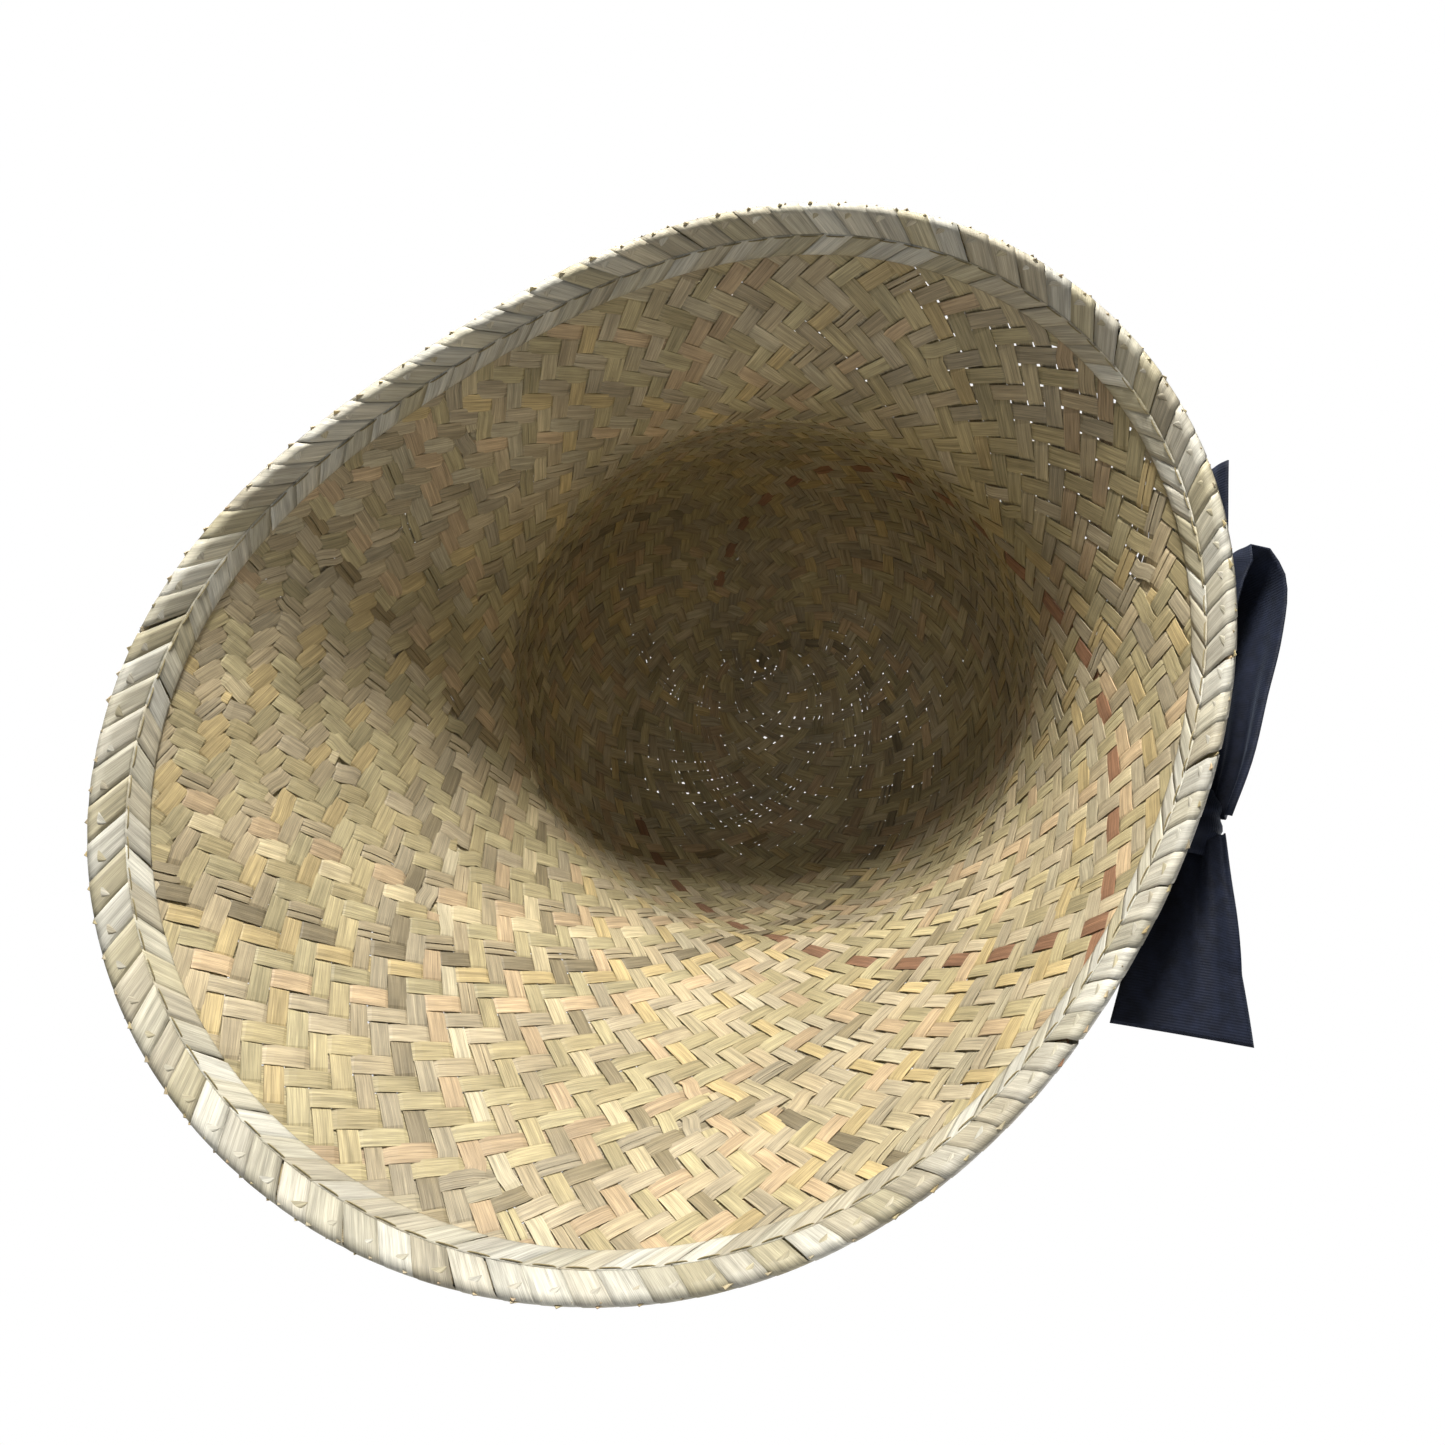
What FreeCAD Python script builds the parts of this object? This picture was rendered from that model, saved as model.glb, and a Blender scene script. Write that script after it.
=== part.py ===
"""A woven straw hat: a conical-topped crown, a steep flared brim, a plaited edge and a ribbon with a bow.

Millimetres, +Z up.  The rim's lowest edge lies on the plane z = 0, and the origin is the middle of the
hat's plan, bow included.  -Y is the front, where the brim is longest; the crown leans back.
"""
import FreeCAD, Part
import math
import os
from FreeCAD import Vector

os.makedirs("parts", exist_ok=True)

# ---- Driving dimensions ------------------------------------------------------------------------------
HEAD_RADIUS = 92.0            # middle of the straw at the crown's base, for a 57 to 58 cm head
CROWN_HEIGHT = 132.0          # from the crown's base to its tip, along the crown's own axis
CROWN_POLES = ((HEAD_RADIUS, 0.0), (95.0, 48.0), (87.0, 100.0), (44.0, 114.0), (0.0, CROWN_HEIGHT))
STRAW_THICKNESS = 1.8         # two crossed strands and their ripple

RIM_CENTRE = Vector(18.2, -2.8, 0)    # middle of the rim's oval
RIM_RADIUS = 143.5            # mean radius of the rim
RIM_STRETCH = 17.3            # longer front to back, narrower side to side
RIM_EGG = 3.05                # blunter towards the back
RIM_PULL = 2.4                # a hand-made hat's lopsidedness

CROWN_BASE = RIM_CENTRE + Vector(2.4, 41.9, 102.3)    # middle of the crown's base
CROWN_LEAN = Vector(0.186, 0.238, 0.953)              # the crown's axis, leaning back and a little sideways

FLARE_START = 30.0            # how far the crown wall's direction carries into the brim
FLARE_END = 38.0              # how far the rim's direction carries back up the brim
WALL_SLOPE = 79.0             # degrees, of the crown's wall where it meets the brim

BRAID_HEIGHT = 14.5           # height of the folded plait above the rest plane
BRAID_THICKNESS = 0.9         # each leg of the folded plait
BRAID_FLOOR = 1.2             # plait under the brim's raw edge
FIT_GAP = 0.1                 # between layers that lie on one another

STITCH_COUNT = 112
STITCH_LENGTH = 4.6
STITCH_RADIUS = 0.3
STITCH_LEVEL = 7.4            # height of the sewing line

RIBBON_WIDTH = 38.0
RIBBON_THICKNESS = 0.8
BAND_FOOT = 1.5               # the band's lower edge above the crown's base
KNOT_PLACE = Vector(-114.0, 84.0, 33.0)       # from the rim's centre
KNOT_RADII = (8.0, 11.0, 10.0)        # across the hat's side, along the rim, up the side
DOWN_SIDE = Vector(-0.30, 0.10, -0.95)        # down the brim's outside, beside the bow
OUT_FLAT = Vector(-0.95, 0.32, -0.05)         # straight out from the hat's side

RING_POINTS = 48              # points round each closed section
AXIS_Z = Vector(0, 0, 1)


# ---- The hat's surface -------------------------------------------------------------------------------
def crown_profile(t):
    """Radius and height of the crown's middle surface, from its base (t = 0) to its tip (t = 1)."""
    weights = [math.comb(4, k) * t ** k * (1 - t) ** (4 - k) for k in range(5)]
    radius = sum(weight * pole[0] for weight, pole in zip(weights, CROWN_POLES))
    height = sum(weight * pole[1] for weight, pole in zip(weights, CROWN_POLES))
    return radius, height


def rim_point(angle):
    """A point of the rim, at the rest plane."""
    radius = (RIM_RADIUS - RIM_STRETCH * math.cos(2 * angle)
              - RIM_EGG * math.sin(3 * angle) - RIM_PULL * math.cos(3 * angle))
    return RIM_CENTRE + Vector(radius * math.cos(angle), radius * math.sin(angle), 0)


def base_axes():
    """Two directions across the crown's base, the first nearest +X."""
    lean = Vector(CROWN_LEAN).normalize()
    across = (Vector(1, 0, 0) - lean * lean.x).normalize()
    return across, lean.cross(across), lean


def base_direction(angle):
    """The outward direction in the crown's base plane at an angle."""
    across, along, _ = base_axes()
    return across * math.cos(angle) + along * math.sin(angle)


def brim_point(angle, t):
    """The brim's middle surface, from the crown's base (t = 0) down to the rim (t = 1)."""
    lean = base_axes()[2]
    outward = base_direction(angle)
    top = CROWN_BASE + outward * HEAD_RADIUS
    foot = rim_point(angle)
    slope = math.radians(WALL_SLOPE)
    wall = outward * math.cos(slope) - lean * math.sin(slope)
    chord = (foot - top).normalize()
    poles = (top, top + wall * FLARE_START, foot - chord * FLARE_END, foot)
    weights = [math.comb(3, k) * t ** k * (1 - t) ** (3 - k) for k in range(4)]
    point = Vector(0, 0, 0)
    for weight, pole in zip(weights, poles):
        point += pole * weight
    return point


def brim_t_at(angle, height):
    """Where the brim's middle surface passes a height above the rest plane."""
    low, high = 0.0, 1.0
    for _ in range(40):
        middle = (low + high) / 2
        if brim_point(angle, middle).z > height:
            low = middle
        else:
            high = middle
    return (low + high) / 2


def brim_outward(angle, t):
    """The direction out of the brim's surface, level at the rim and in the base plane at the crown."""
    step = 1e-3
    round_it = brim_point(angle + step, t) - brim_point(angle - step, t)
    down_it = brim_point(angle, min(t + step, 1)) - brim_point(angle, max(t - step, 0))
    normal = round_it.cross(down_it).normalize()
    if normal.dot(base_direction(angle)) < 0:
        normal = -normal
    return normal


# ---- Solids from closed sections ---------------------------------------------------------------------
def closed_wire(points):
    curve = Part.BSplineCurve()
    curve.interpolate(Points=points, PeriodicFlag=True)
    return Part.Wire([curve.toShape()])


def ring_angles():
    return [2 * math.pi * i / RING_POINTS for i in range(RING_POINTS)]


def level_section(offset, height):
    """A level section of the brim, a distance outside (+) or inside (-) its middle surface."""
    points = []
    for angle in ring_angles():
        t = brim_t_at(angle, height)
        normal = brim_outward(angle, t)
        level = Vector(normal.x, normal.y, 0)
        reach = offset / level.Length
        points.append(Vector(*brim_point(angle, t)[:2], height) + level.normalize() * reach)
    return closed_wire(points)


def level_tube(outer, inner, heights):
    """The wall between two offsets of the brim, cut off level at both ends."""
    shells = [Part.makeLoft([level_section(offset, z) for z in heights], True) for offset in (outer, inner)]
    return shells[0].cut(shells[1])


def brim_loft(offset, foot_height, steps=9):
    """The volume inside the brim at an offset, from the crown's base plane to a level foot."""
    lean = base_axes()[2]
    sections = []
    for step in range(steps + 1):
        points = []
        for angle in ring_angles():
            t = brim_t_at(angle, foot_height) * step / steps
            point = brim_point(angle, t)
            normal = brim_outward(angle, t)
            if step == 0:
                normal = base_direction(angle)
            elif step == steps:
                normal = Vector(normal.x, normal.y, 0)
            point += normal.normalize() * offset
            if step == 0:
                point -= lean * (point - CROWN_BASE).dot(lean)
            elif step == steps:
                point.z = foot_height
            points.append(point)
        sections.append(closed_wire(points))
    return Part.makeLoft(sections, True)


def place_on_crown(shape):
    """Moves a shape made round the Z axis on to the crown's base."""
    across, along, lean = base_axes()
    matrix = FreeCAD.Matrix(across.x, along.x, lean.x, CROWN_BASE.x,
                            across.y, along.y, lean.y, CROWN_BASE.y,
                            across.z, along.z, lean.z, CROWN_BASE.z, 0, 0, 0, 1)
    return shape.transformed(matrix, True)


def crown_offset_points(offset, t_from, t_to, count):
    """Points of the crown's profile moved off its middle surface, in the X-Z plane."""
    points = []
    for i in range(count + 1):
        t = t_from + (t_to - t_from) * i / count
        radius, height = crown_profile(t)
        before = crown_profile(max(t - 1e-3, 0))
        after = crown_profile(min(t + 1e-3, 1))
        run = Vector(after[0] - before[0], 0, after[1] - before[1]).normalize()
        points.append(Vector(radius + run.z * offset, 0, height - run.x * offset))
    return points


def spline_edge(points):
    curve = Part.BSplineCurve()
    curve.interpolate(points)
    return curve.toShape()


# ---- Straw -------------------------------------------------------------------------------------------
def make_crown():
    """The woven crown, a closed shell with a blunt conical tip."""
    half = STRAW_THICKNESS / 2
    outer = crown_offset_points(half, 0, 1, 14)
    inner = crown_offset_points(-half, 0, 1, 14)
    for points in (outer, inner):
        points[0].z = 0
        points[-1].x = 0
    edges = [spline_edge(outer), Part.makeLine(outer[-1], inner[-1]), spline_edge(inner),
             Part.makeLine(inner[0], outer[0])]
    face = Part.Face(Part.Wire(Part.__sortEdges__(edges)))
    return place_on_crown(face.revolve(Vector(0, 0, 0), AXIS_Z, 360))


def make_brim():
    """The woven brim, from the crown's base to its raw edge inside the plait."""
    half = STRAW_THICKNESS / 2
    return brim_loft(half, BRAID_FLOOR).cut(brim_loft(-half, BRAID_FLOOR))


def make_edge_braid():
    """The plait folded over the brim's raw edge."""
    inside = STRAW_THICKNESS / 2 + FIT_GAP
    outside = inside + BRAID_THICKNESS
    wall = level_tube(outside, -outside, (0, BRAID_HEIGHT / 2, BRAID_HEIGHT))
    slot = level_tube(inside, -inside, (BRAID_FLOOR, BRAID_HEIGHT / 2, BRAID_HEIGHT + 2))
    return wall.cut(slot)


def make_stitches():
    """The running stitches that hold the plait, seen on its inner face."""
    reach = STRAW_THICKNESS / 2 + FIT_GAP + BRAID_THICKNESS + STITCH_RADIUS + 0.05
    stitches = []
    for i in range(STITCH_COUNT):
        angle = 2 * math.pi * i / STITCH_COUNT
        t = brim_t_at(angle, STITCH_LEVEL)
        middle = brim_point(angle, t) - brim_outward(angle, t) * reach
        along = (brim_point(angle + 0.01, t) - brim_point(angle - 0.01, t)).normalize()
        stitches.append(Part.makeCylinder(STITCH_RADIUS, STITCH_LENGTH, middle - along * STITCH_LENGTH / 2, along))
    return Part.makeCompound(stitches)


# ---- Ribbon ------------------------------------------------------------------------------------------
def crown_t_at(height):
    """Where the crown's profile passes a height above the crown's base."""
    low, high = 0.0, 0.5
    for _ in range(40):
        middle = (low + high) / 2
        if crown_profile(middle)[1] < height:
            low = middle
        else:
            high = middle
    return (low + high) / 2


def make_hatband():
    """The ribbon round the foot of the crown."""
    inner_reach = STRAW_THICKNESS / 2 + FIT_GAP
    foot, top = crown_t_at(BAND_FOOT), crown_t_at(BAND_FOOT + RIBBON_WIDTH)
    inner = crown_offset_points(inner_reach, foot, top, 6)
    outer = crown_offset_points(inner_reach + RIBBON_THICKNESS, foot, top, 6)
    edges = [spline_edge(inner), Part.makeLine(inner[-1], outer[-1]), spline_edge(outer),
             Part.makeLine(outer[0], inner[0])]
    face = Part.Face(Part.Wire(Part.__sortEdges__(edges)))
    return place_on_crown(face.revolve(Vector(0, 0, 0), AXIS_Z, 360))


def ribbon_strip(path, widths, directions):
    """A strip of ribbon along a path, with its width and the direction across it at each point."""
    rails = [[], [], [], []]
    for i, (point, width, direction) in enumerate(zip(path, widths, directions)):
        ahead = path[min(i + 1, len(path) - 1)] - path[max(i - 1, 0)]
        across = direction - ahead * (direction.dot(ahead) / ahead.dot(ahead))
        half = across.normalize() * (width / 2)
        skin = ahead.cross(half).normalize() * (RIBBON_THICKNESS / 2)
        for rail, corner in zip(rails, (-half - skin, half - skin, half + skin, -half + skin)):
            rail.append(point + corner)
    edges = [spline_edge(rail) for rail in rails]
    faces = [Part.makeRuledSurface(edges[k], edges[(k + 1) % 4]) for k in range(4)]
    for end in (0, -1):
        corners = [rail[end] for rail in rails]
        faces.append(Part.Face(Part.makePolygon(corners + corners[:1])))
    shell = Part.makeShell(faces)
    shell.sewShape()
    solid = Part.makeSolid(shell)
    if solid.Volume < 0:
        solid.reverse()
    return solid


def from_rim(*places):
    """Points given from the rim's centre."""
    return [RIM_CENTRE + Vector(*place) for place in places]


def make_knot():
    """The wrap that gathers the bow."""
    knot = Part.makeSphere(1.0)
    matrix = FreeCAD.Matrix()
    matrix.scale(*KNOT_RADII)
    knot = knot.transformGeometry(matrix)
    knot.rotate(Vector(0, 0, 0), AXIS_Z, math.degrees(math.atan2(KNOT_PLACE.y, KNOT_PLACE.x)))
    knot.translate(RIM_CENTRE + KNOT_PLACE)
    return knot


def ribbon_loop(level, plan):
    """A flattened loop of ribbon, from the plan of its middle line at a level above the rim."""
    drop = DOWN_SIDE.normalize() * RIBBON_WIDTH
    walls = []
    for side in (1, -1):
        points = []
        for i, place in enumerate(plan):
            run = Vector(*plan[(i + 1) % len(plan)], 0) - Vector(*plan[i - 1], 0)
            outward = Vector(run.y, -run.x, 0).normalize() * (side * RIBBON_THICKNESS / 2)
            points.append(RIM_CENTRE + Vector(*place, level) - drop / 2 + outward)
        for point in points:
            point.z = points[0].z
        walls.append(closed_wire(points))
    prisms = [Part.Face(wall).extrude(drop) for wall in walls]
    prisms.sort(key=lambda prism: prism.Volume)
    return prisms[1].cut(prisms[0])


def make_loop_back():
    return ribbon_loop(32, ((-116, 91), (-108, 105), (-98, 121), (-90, 135), (-80, 147), (-70, 152),
                            (-71, 144), (-79, 132), (-89, 118), (-99, 104), (-109, 91)))


def make_loop_front():
    return ribbon_loop(53, ((-119, 73), (-125, 58), (-128, 43), (-127, 28), (-122, 21), (-117, 26),
                            (-115, 40), (-114, 55), (-114, 68), (-115, 75)))


def make_tail_front():
    path = from_rim((-122, 75, 26), (-129, 64, 23), (-138, 52, 19), (-149, 39, 17))
    return ribbon_strip(path, [13, 24, 34, 37], [DOWN_SIDE, Vector(-0.8, 0.2, -0.6), OUT_FLAT, OUT_FLAT])


def make_tail_back():
    path = from_rim((-100, 98, 28), (-88, 113, 26), (-71, 133, 23), (-45, 156, 20))
    return ribbon_strip(path, [13, 22, 28, 31], [DOWN_SIDE] * 4)


def make_band_ends():
    """The band's two ends, running from the foot of the crown down to the knot."""
    ends = []
    for side in (-1, 1):
        path = from_rim((-90, 72 + 12 * side, 112), (-98, 75 + 10 * side, 92), (-105, 79 + 6 * side, 68),
                        (-111, 82 + 2.8 * side, 45))
        ends.append(ribbon_strip(path, [18, 16, 9, 5], [Vector(0.35, 0.94, 0)] * 4))
    return Part.makeCompound(ends)


NODES = {
    "crown_weave": make_crown,
    "brim_weave": make_brim,
    "edge_braid": make_edge_braid,
    "braid_stitches": make_stitches,
    "hatband": make_hatband,
    "band_ends": make_band_ends,
    "bow_knot": make_knot,
    "bow_loop_back": make_loop_back,
    "bow_loop_front": make_loop_front,
    "ribbon_tail_back": make_tail_back,
    "ribbon_tail_front": make_tail_front,
}

for node, make in NODES.items():
    shape = make()
    print(node, "solids", len(shape.Solids), "valid", shape.isValid(), "volume", round(shape.Volume, 1))
    shape.exportStep("parts/" + node + ".step")
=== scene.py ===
"""A woven straw hat with a plaited edge and a ribbon bow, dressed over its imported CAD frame.

Sizes are millimetres in the hat's own frame and turn into metres when a mesh is made.
The hat's surface repeats the CAD model's: a crown profile turned about a leaning axis, and a flared brim.
A place on it is (angle, s): the angle round the hat and the distance s down from the crown's tip.
"""
import math
import random

import bpy
import numpy as np
from mathutils import Matrix, Vector


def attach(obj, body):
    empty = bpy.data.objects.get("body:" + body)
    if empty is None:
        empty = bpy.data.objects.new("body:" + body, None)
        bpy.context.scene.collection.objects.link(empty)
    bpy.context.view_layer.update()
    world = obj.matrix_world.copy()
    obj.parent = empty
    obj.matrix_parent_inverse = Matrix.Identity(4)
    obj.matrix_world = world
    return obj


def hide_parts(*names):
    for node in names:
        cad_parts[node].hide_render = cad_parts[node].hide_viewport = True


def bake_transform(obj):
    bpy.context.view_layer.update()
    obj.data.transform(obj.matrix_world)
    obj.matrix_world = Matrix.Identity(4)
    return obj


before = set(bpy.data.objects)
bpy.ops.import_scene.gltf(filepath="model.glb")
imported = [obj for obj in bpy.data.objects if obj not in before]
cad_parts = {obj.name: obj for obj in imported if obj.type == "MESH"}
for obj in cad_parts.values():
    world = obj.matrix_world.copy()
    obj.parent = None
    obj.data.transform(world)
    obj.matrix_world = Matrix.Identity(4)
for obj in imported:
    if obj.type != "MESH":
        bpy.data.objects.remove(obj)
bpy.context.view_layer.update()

MM = 0.001
HAT = "hat"                   # the body that everything but the front tail rides on

# ---- The hat's surface, as in the CAD model ------------------------------------------------------------
HEAD_RADIUS = 92.0
CROWN_HEIGHT = 132.0
CROWN_POLES = ((HEAD_RADIUS, 0.0), (95.0, 48.0), (87.0, 100.0), (44.0, 114.0), (0.0, CROWN_HEIGHT))
RIM_CENTRE = np.array([18.2, -2.8, 0.0])
RIM_RADIUS, RIM_STRETCH, RIM_EGG, RIM_PULL = 143.5, 17.3, 3.05, 2.4
CROWN_BASE = RIM_CENTRE + np.array([2.4, 41.9, 102.3])
CROWN_LEAN = np.array([0.186, 0.238, 0.953])
FLARE_START, FLARE_END = 30.0, 38.0
WALL_SLOPE = 79.0
STRAW_THICKNESS = 1.8
FIT_GAP = 0.1
BRAID_THICKNESS = 0.9
RIBBON_WIDTH = 38.0
BAND_FOOT = 1.5
DOWN_SIDE = (-0.30, 0.10, -0.95)
OUT_FLAT = (-0.95, 0.32, -0.05)
KNOT_PLACE = np.array([-114.0, 84.0, 33.0])

# ---- The weave -----------------------------------------------------------------------------------------
TIP_RING = 3.0                # distance of the first ring of crossings from the tip
TIP_COUNT = 5                 # crossings in the first ring
PITCH_AT_TIP, PITCH_ON_CROWN, PITCH_ON_BRIM = 5.4, 6.6, 7.5    # crossings' spacing round the hat
RING_SHARE = 0.5              # ring spacing as a share of the pitch, for strands at 45 degrees
SOURCE_REACH = 0.12           # how far a new strand starts above its first crossing, in ring spacings
STRAND_FILL = 0.99            # strand width as a share of the room it has
STRAND_LIFT = 0.45            # how far a float stands off the middle surface
STRAND_CROWN = 0.06           # how far its middle stands above its edges
SPLIT_SHARE = 0.10            # strands split in two along their length

# ---- The plait on the edge -----------------------------------------------------------------------------
PLAIT_COUNT = 98              # facets in each row
PLAIT_RADIUS = STRAW_THICKNESS / 2 + FIT_GAP + BRAID_THICKNESS / 2   # of its fold round the raw edge
FOLD_DEPTH = 0.9              # how far the fold hangs below the plait's flat sides
PLAIT_REACH = 16.0            # from the fold's middle to the plait's upper edge, round the surface
PLAIT_BREAK = 10.2            # from the fold's middle to the line between its rows
STITCH_COUNT = 112

# ---- Colours (linear) ----------------------------------------------------------------------------------
STRAW_TONES = (
    (0.39, 0.32, 0.20), (0.40, 0.33, 0.18), (0.49, 0.41, 0.25), (0.47, 0.35, 0.21),
    (0.49, 0.38, 0.19), (0.42, 0.35, 0.23), (0.43, 0.36, 0.20), (0.38, 0.32, 0.18),
    (0.42, 0.34, 0.21), (0.45, 0.39, 0.26), (0.41, 0.35, 0.20), (0.39, 0.33, 0.22),
)
DARK_TONES = ((0.25, 0.19, 0.10), (0.27, 0.22, 0.13), (0.22, 0.18, 0.11), (0.26, 0.14, 0.08))
PLAIT_TONES = (
    (0.43, 0.40, 0.31), (0.46, 0.43, 0.35), (0.39, 0.35, 0.26),
    (0.48, 0.46, 0.39), (0.38, 0.34, 0.23),
)


def unit(vectors):
    vectors = np.asarray(vectors, float)
    return vectors / np.maximum(np.linalg.norm(vectors, axis=-1, keepdims=True), 1e-9)


LEAN = unit(CROWN_LEAN)
ACROSS = unit(np.array([1.0, 0, 0]) - LEAN * LEAN[0])
ALONG = np.cross(LEAN, ACROSS)


def base_directions(angles):
    return ACROSS * np.cos(angles)[..., None] + ALONG * np.sin(angles)[..., None]


def crown_profile(t):
    t = np.asarray(t, float)
    weights = [math.comb(4, k) * t ** k * (1 - t) ** (4 - k) for k in range(5)]
    return (sum(w * pole[0] for w, pole in zip(weights, CROWN_POLES)),
            sum(w * pole[1] for w, pole in zip(weights, CROWN_POLES)))


def rim_points(angles):
    radius = (RIM_RADIUS - RIM_STRETCH * np.cos(2 * angles)
              - RIM_EGG * np.sin(3 * angles) - RIM_PULL * np.cos(3 * angles))
    flat = np.stack([np.cos(angles), np.sin(angles), np.zeros_like(angles)], axis=-1)
    return RIM_CENTRE + flat * radius[..., None]


class HatSurface:
    """The hat's middle surface as a table of points: a row for each angle, a column for each step down."""
    ROWS = 360
    STEP = 1.0
    BEYOND = 14.0             # how far the table runs on past the longest part of the brim

    def __init__(self):
        angles = np.arange(self.ROWS) * 2 * math.pi / self.ROWS
        t = np.linspace(1, 0, 400)
        radius, height = crown_profile(t)
        s = np.concatenate([[0], np.cumsum(np.hypot(np.diff(radius), np.diff(height)))])
        self.crown_length = s[-1]
        brim, lengths = self.brim_curves(angles)
        self.rim_s = self.crown_length + lengths
        steps = int((self.rim_s.max() + self.BEYOND) / self.STEP)
        self.s = np.arange(steps + 1) * self.STEP
        r = np.interp(self.s, s, radius)
        h = np.interp(self.s, s, height)
        outward = base_directions(angles)
        self.points = CROWN_BASE + outward[:, None] * r[None, :, None] + LEAN * h[None, :, None]
        below = self.s > self.crown_length
        for row in range(self.ROWS):
            self.points[row, below] = self.down_the_brim(brim[row], self.s[below] - self.crown_length)
        self.normals = self.outward_normals()

    def brim_curves(self, angles):
        t = np.linspace(0, 1, 300)[None, :, None]
        outward = base_directions(angles)
        top = CROWN_BASE + outward * HEAD_RADIUS
        foot = rim_points(angles)
        slope = math.radians(WALL_SLOPE)
        wall = outward * math.cos(slope) - LEAN * math.sin(slope)
        chord = unit(foot - top)
        poles = (top, top + wall * FLARE_START, foot - chord * FLARE_END, foot)
        curves = sum(math.comb(3, k) * t ** k * (1 - t) ** (3 - k) * poles[k][:, None] for k in range(4))
        return curves, np.linalg.norm(np.diff(curves, axis=1), axis=2).sum(1)

    @staticmethod
    def down_the_brim(curve, distances):
        """Points at distances down one brim curve, running straight on past its end."""
        s = np.concatenate([[0], np.cumsum(np.linalg.norm(np.diff(curve, axis=0), axis=1))])
        points = np.stack([np.interp(distances, s, curve[:, k]) for k in range(3)], axis=1)
        past = np.maximum(distances - s[-1], 0)[:, None]
        return points + unit(curve[-1] - curve[-2]) * past

    def outward_normals(self):
        round_it = np.roll(self.points, -1, axis=0) - np.roll(self.points, 1, axis=0)
        down_it = np.gradient(self.points, axis=1)
        normals = unit(np.cross(down_it, round_it))
        normals[:, 0] = LEAN
        return normals

    def sample(self, table, angles, s):
        row = np.mod(np.asarray(angles) / (2 * math.pi), 1.0) * self.ROWS
        col = np.clip(np.asarray(s) / self.STEP, 0, len(self.s) - 1.001)
        low_row, low_col = np.floor(row).astype(int), np.floor(col).astype(int)
        part_row, part_col = (row - low_row)[..., None], (col - low_col)[..., None]
        low_row %= self.ROWS
        next_row = (low_row + 1) % self.ROWS
        first = table[low_row, low_col] * (1 - part_col) + table[low_row, low_col + 1] * part_col
        second = table[next_row, low_col] * (1 - part_col) + table[next_row, low_col + 1] * part_col
        return first * (1 - part_row) + second * part_row

    def at(self, angles, s):
        """Points of the middle surface and its outward normals."""
        return self.sample(self.points, angles, s), unit(self.sample(self.normals, angles, s))

    def rim_at(self, angles):
        """How far down from the tip the rim is, at each angle."""
        row = np.mod(np.asarray(angles) / (2 * math.pi), 1.0) * self.ROWS
        return np.interp(row, np.arange(self.ROWS + 1), np.append(self.rim_s, self.rim_s[0]))

    def round_ring(self, s):
        """Distance round the ring at s, for each row's angle and back to the first."""
        ring = self.sample(self.points, np.arange(self.ROWS) * 2 * math.pi / self.ROWS, np.full(self.ROWS, s))
        steps = np.linalg.norm(np.roll(ring, -1, axis=0) - ring, axis=1)
        return np.concatenate([[0], np.cumsum(steps)])


hat = HatSurface()


# ---- Meshes --------------------------------------------------------------------------------------------
class StripMesh:
    """Collects thin crowned strips and turns them into one mesh with a colour and a grain coordinate."""
    SECTION = np.array([-1.0, -0.45, 0.45, 1.0])

    def __init__(self):
        self.points, self.faces, self.colours, self.grain = [], [], [], []
        self.count = 0

    def add(self, centres, normals, widths, colour, crown, seed, roll=0.0, along_from=0.0):
        """One strip: its middle line, the way it faces, its widths and how its middle stands proud."""
        centres, normals = np.asarray(centres), np.asarray(normals)
        tangents = unit(np.gradient(centres, axis=0))
        across = unit(np.cross(normals, tangents))
        n, m = len(centres), len(self.SECTION)
        half = np.broadcast_to(np.asarray(widths, float) / 2, n)
        rise = np.broadcast_to(np.asarray(crown, float), n)
        tilt = np.broadcast_to(np.asarray(roll, float), n)
        side = self.SECTION[None, :, None]
        lift = rise[:, None, None] * (1 - side ** 2) + (tilt * half)[:, None, None] * side
        strip = (centres[:, None] + across[:, None] * half[:, None, None] * side
                 + normals[:, None] * lift)
        travelled = np.concatenate([[0], np.cumsum(np.linalg.norm(np.diff(centres, axis=0), axis=1))])
        grain = np.zeros((n, m, 2))
        grain[..., 0] = half[:, None] * self.SECTION[None]
        grain[..., 1] = travelled[:, None] + along_from
        self.add_grid(strip, grain[..., 0], grain[..., 1], colour, seed)

    def add_grid(self, points, across, along, colour, seed):
        """A patch given point by point, with its grain coordinates in millimetres."""
        n, m = points.shape[:2]
        start = self.count
        for i in range(n - 1):
            for j in range(m - 1):
                a = start + i * m + j
                self.faces.append((a, a + 1, a + m + 1, a + m))
        self.points.append(points.reshape(-1, 3))
        self.colours.append(np.tile([*colour, 1.0], (n * m, 1)))
        self.grain.append(np.stack([across, along, np.full_like(across, seed)], axis=-1).reshape(-1, 3))
        self.count += n * m

    def make(self, name, thickness, material, smooth=True):
        mesh = bpy.data.meshes.new(name)
        mesh.from_pydata((np.concatenate(self.points) * MM).tolist(), [], self.faces)
        colour = mesh.attributes.new("strand_colour", "FLOAT_COLOR", "POINT")
        colour.data.foreach_set("color", np.concatenate(self.colours).astype(np.float32).ravel())
        grain = mesh.attributes.new("grain", "FLOAT_VECTOR", "POINT")
        grain.data.foreach_set("vector", np.concatenate(self.grain).astype(np.float32).ravel())
        mesh.polygons.foreach_set("use_smooth", [smooth] * len(mesh.polygons))
        mesh.materials.append(material)
        piece = bpy.data.objects.new(name, mesh)
        bpy.context.scene.collection.objects.link(piece)
        solid = piece.modifiers.new("thickness", "SOLIDIFY")
        solid.thickness = thickness * MM
        solid.offset = 0
        return piece


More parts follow.
